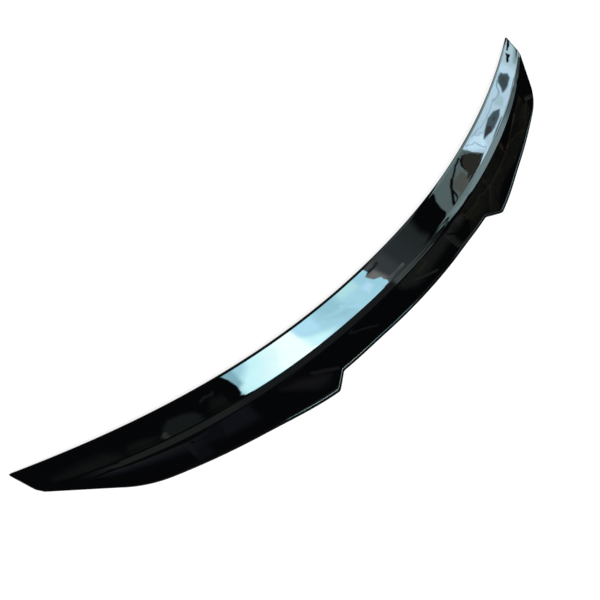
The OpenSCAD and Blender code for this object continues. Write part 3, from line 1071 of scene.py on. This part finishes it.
# %% A low softbox for the far tip
TIP_BOX_HEIGHT = 0.3

tip_glow = softbox("far_tip_glow", "front", (560, 623), (0, 1.3), [
    (patch([(540, -0.6), (540, 1.7), (660, 1.7), (660, -0.6)]), (3.9, 5.5, 6.6)),
    tip_haze,
    (patch([(580, 0.74), (600, 0.68), (640, 0.6), (640, 1.7), (580, 1.7)], 8), (1.9, 3, 3.2)),
    (patch([(550, 1.03), (575, 0.97), (600, 0.9), (640, 0.76), (640, 1.7), (550, 1.7)], 3),
     (0.45, 0.52, 0.56)),
    # two small black flags
    (patch([(566, 0.37), (573, 0.29), (580, 0.26), (583, 0.17), (587, 0.16), (588, 0.3),
            (593, 0.48), (590, 0.5), (580, 0.44), (574, 0.5), (568, 0.44)], 2),
     (0.02, 0.02, 0.02)),
    (patch([(593, 0.16), (600, 0.15), (610, 0.1), (630, 0.02), (630, 0.2), (616, 0.3),
            (612, 0.33), (604, 0.27), (596, 0.28)], 2), (0.02, 0.02, 0.02)),
], height=TIP_BOX_HEIGHT)
tip_glow.visible_shadow = False
tip_glow.visible_diffuse = False

# %% [markdown]
# The crease is a narrow facet that leans its own way, so it mirrors other places than the bands
# beside it and shows as a line. A painted line would be false from any other side. Instead it has
# sheets of its own, and so has the rear band. They hang a few centimetres above the ceiling's
# height, because two sheets in one plane would fight for the same ray.

# %% The strips of glow that the crease mirrors
STRIP_HEIGHT = CEILING + 0.01
EDGE_HEIGHT = CEILING + 0.02

softbox("near_crease_glow", "strip", (-612, 176), (-0.4, 1.4), [
    (slab(-560, -560, 100, 150, 60), (0.08, 0.095, 0.1)),
    (slab(-540, -540, -345, -345, 30), (0.13, 0.138, 0.13)),
    (patch([(-20, -0.6), (-20, 0.7), (90, 0.4), (120, -0.6)], 12), (0.5, 0.62, 0.62)),
    (patch([(88, 1.1), (90, 1.6), (180, 1.6), (180, 0.3), (165, 0.25)], 3), (0.9, 1.35, 1.4)),
], height=STRIP_HEIGHT)
softbox("crease_edge_glow", "edge", (-60, 618), (0, 1), [
    (slab(-30, -30, 104, 100, 20), (0.3, 0.36, 0.37)),
    (slab(166, 164, 640, 640, 4), (1.2, 1.75, 1.8)),
    (slab(420, 420, 640, 640, 60), (1.7, 2.4, 2.6)),
], clouds=0.06, height=EDGE_HEIGHT)
softbox("far_crease_glow", "strip", (150, 612), (-0.4, 1.4), [
    (patch([(140, 0.6), (166, 0.2), (172, -0.6), (500, -0.6), (500, 1.6), (140, 1.6)], 3),
     (1.45, 2.1, 2.2)),
    (slab(440, 440, 620, 620, 60), (0.7, 1, 1.05)),
    (slab(560, 560, 620, 620, 40), (0.25, 0.3, 0.32)),
    (patch([(380, 0.7), (620, 0.5), (620, 1.6), (380, 1.6)], 12), (0.35, 0.42, 0.42)),
], clouds=0.06, height=STRIP_HEIGHT)

# %% Faint sheen for the steep rear band
REAR_HEIGHT = CEILING + 0.04

softbox("near_rear_sheen", "rear", (-580, -200), (-0.1, 1), [
    (patch([(-580, -0.3), (-340, -0.3), (-345, 0.55), (-400, 0.55), (-460, 0.4), (-520, 0.25),
            (-560, 0.15)], 16), (0.035, 0.045, 0.07)),
    (patch([(-560, -0.3), (-400, -0.3), (-410, 0.1), (-470, 0.2), (-540, 0.12)], 10),
     (0.08, 0.09, 0.1)),
    (patch([(-292, 0.15), (-262, 0.2), (-232, 0.45), (-222, 0.68), (-256, 0.68)], 16),
     (0.06, 0.06, 0.07)),
    (stroke([(-240, 0.25), (-222, 0.48), (-206, 0.85)], 6), (0.07, 0.07, 0.08)),
], height=REAR_HEIGHT)
softbox("mid_rear_sheen", "rear", (-190, 178), (-0.1, 1), [
    (stroke([(-146, 0.12), (-125, 0.35), (-108, 0.62)], 5), (0.06, 0.06, 0.06)),
    (patch([(-30, -0.3), (-20, 0.3), (0, 0.6), (60, 0.5), (150, 0.35), (176, 0.3),
            (178, -0.3)], 20), (0.07, 0.08, 0.075)),
    (patch([(120, -0.3), (120, 0.25), (176, 0.22), (182, -0.3)], 20), (0.13, 0.13, 0.12)),
    (stroke([(5, 0.36), (25, 0.6), (46, 0.8)], 6), (0.11, 0.11, 0.1)),
    (stroke([(20, 0.25), (50, 0.2)], 8), (0.11, 0.12, 0.08)),
], height=REAR_HEIGHT)
softbox("far_rear_sheen", "rear", (176, 520), (-0.1, 1), [
    (patch([(170, 0.26), (186, 0.36), (220, 0.3), (238, 0.22), (260, 0.34), (330, 0.42),
            (400, 0.34), (465, 0.16), (530, 0.1), (530, 0.9), (400, 0.95), (300, 0.72),
            (240, 0.62), (205, 0.8), (170, 0.6)], 6), (0.05, 0.055, 0.035)),
    (patch([(170, -0.3), (170, 0.2), (240, 0.15), (300, 0.25), (300, -0.3)], 12),
     (0.045, 0.04, 0.04)),
    (stroke([(178, 0.12), (182, 0.28), (196, 0.34), (220, 0.3), (238, 0.2), (246, 0.28),
             (275, 0.35), (330, 0.4), (350, 0.4), (400, 0.3), (465, 0.14)], 4),
     (0.16, 0.14, 0.09)),
    (stroke([(176, 0.34), (184, 0.42), (200, 0.44), (228, 0.34), (240, 0.3)], 4),
     (0.12, 0.11, 0.07)),
    (stroke([(230, 0.32), (240, 0.3), (236, 0.4)], 5), (0, 0, 0)),
], height=REAR_HEIGHT)

# %% [markdown]
# The softboxes are drawn for gloss alone. The floor and the hollow need plain light as well, for
# a soft shadow under the edges. Bigger softboxes would spoil the reflections, so three disc lamps
# give it, and gloss doesn't see them.

# %% Soft fill from behind, from the near side and from the front
FILLS = {"rear_fill": ((-0.1, -1.7, 1.7), 1.5, 100), "near_fill": ((-2.3, -0.5, 1.9), 1.3, 60),
         "front_fill": ((0.0, 2.6, 1.6), 1.5, 50)}

for name, (place, size, watts) in FILLS.items():
    fill = bpy.data.lights.new(name, "AREA")
    fill.shape = "DISK"
    fill.size = size
    fill.energy = watts
    lamp = bpy.data.objects.new(name, fill)
    lamp.visible_glossy = False
    lamp.location = place
    lamp.rotation_mode = "QUATERNION"
    lamp.rotation_quaternion = (-Vector(place)).to_track_quat("-Z", "Y")
    bpy.context.scene.collection.objects.link(lamp)
print("fill lights:", sorted(FILLS))

# %% [markdown]
# The photograph has a clean white ground. Lifting the lamps until the floor burns out would wash
# out the black, so the floor itself carries the white: to the camera and in gloss it is mostly a
# plain white glow, with enough of the lit floor left in it to keep the spoiler's own shadow.
# Two metres away the lamps fade and no shadow falls, so there the white takes over altogether.

# %% Floor
FLOOR_RADIUS = 12.0
FLOOR_LEVEL = -0.0002
FLOOR_WHITE_SHARE = 0.8
FADE_START = 0.9
FADE_END = 2.0


def floor_white():
    """A pale diffuse floor, mixed with plain white for camera, glossy and transmission rays. The
    white's share grows to 1 with the distance from the middle."""
    material, nodes, links, shader = new_material("pale_floor")
    shader.inputs["Base Color"].default_value = (0.86, 0.86, 0.86, 1)
    shader.inputs["Roughness"].default_value = 0.9
    shader.inputs["Specular IOR Level"].default_value = 0.0
    white = nodes.new("ShaderNodeEmission")
    white.inputs["Color"].default_value = (1, 1, 1, 1)
    rays = nodes.new("ShaderNodeLightPath").outputs
    seen = combined(nodes, links, "MAXIMUM", rays["Is Camera Ray"], rays["Is Glossy Ray"])
    seen = combined(nodes, links, "MAXIMUM", seen, rays["Is Transmission Ray"])
    place = nodes.new("ShaderNodeTexCoord")
    away = nodes.new("ShaderNodeVectorMath")
    away.operation = "LENGTH"
    links.new(place.outputs["Object"], away.inputs[0])
    plain = mapped(nodes, links, away.outputs["Value"], FLOOR_WHITE_SHARE, 1.0,
                   FADE_START, FADE_END)
    share = combined(nodes, links, "MULTIPLY", seen, plain)
    mix = nodes.new("ShaderNodeMixShader")
    links.new(share, mix.inputs[0])
    links.new(shader.outputs[0], mix.inputs[1])
    links.new(white.outputs[0], mix.inputs[2])
    links.new(mix.outputs[0], nodes["Material Output"].inputs["Surface"])
    return material


FLOOR_RINGS = 24
FLOOR_SPOKES = 64
FIRST_RING = 0.01
turn = np.linspace(0, 2 * np.pi, FLOOR_SPOKES + 1)
radius = np.linspace(FIRST_RING, 1, FLOOR_RINGS) ** 2 * FLOOR_RADIUS
disc = np.stack([radius[:, None] * np.cos(turn), radius[:, None] * np.sin(turn),
                 np.full((FLOOR_RINGS, FLOOR_SPOKES + 1), FLOOR_LEVEL)], axis=-1)
floor = staged("floor", grid_mesh("floor", disc), floor_white())
floor.visible_camera = True
print("floor across: %.0f m" % (2 * FLOOR_RADIUS))

# %% [markdown]
# The walls are the last thing that gloss mirrors. A picture of a room could stand in for them, but
# a few formulas on a ray's direction are enough: white by the horizon, nearly black overhead, and
# a soft glow behind and on the near side.

# %% Studio walls
PALE_UP_TO = 0.22
DARK_FROM = 0.36
OVERHEAD = 0.003
SIDE_GLOW = 0.28
GLOW_START = -0.1
GLOW_END = -0.8

world = bpy.data.worlds.new("studio")
bpy.context.scene.world = world
world.use_nodes = True
world_nodes, world_links = world.node_tree.nodes, world.node_tree.links
direction = world_nodes.new("ShaderNodeTexCoord")
parts = world_nodes.new("ShaderNodeSeparateXYZ")
world_links.new(direction.outputs["Generated"], parts.inputs[0])
strength = mapped(world_nodes, world_links, parts.outputs["Z"], 1.0, OVERHEAD,
                  PALE_UP_TO, DARK_FROM)
for axis in "YX":
    side = mapped(world_nodes, world_links, parts.outputs[axis], 0.0, SIDE_GLOW,
                  GLOW_START, GLOW_END)
    side.node.interpolation_type = "SMOOTHSTEP"
    strength = combined(world_nodes, world_links, "MAXIMUM", strength, side)
world_links.new(strength, world_nodes["Background"].inputs["Strength"])
world_nodes["Background"].inputs["Color"].default_value = (1, 1, 1, 1)
bpy.context.scene.view_settings.view_transform = "Standard"
print("the studio is set")

# %% Measure and finish
with open("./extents.json", "w") as file:
    json.dump({"cad": [list(corner) for corner in CAD_BOX],
               "scene": [list(corner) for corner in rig.bounds()]}, file)
print(open("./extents.json").read())
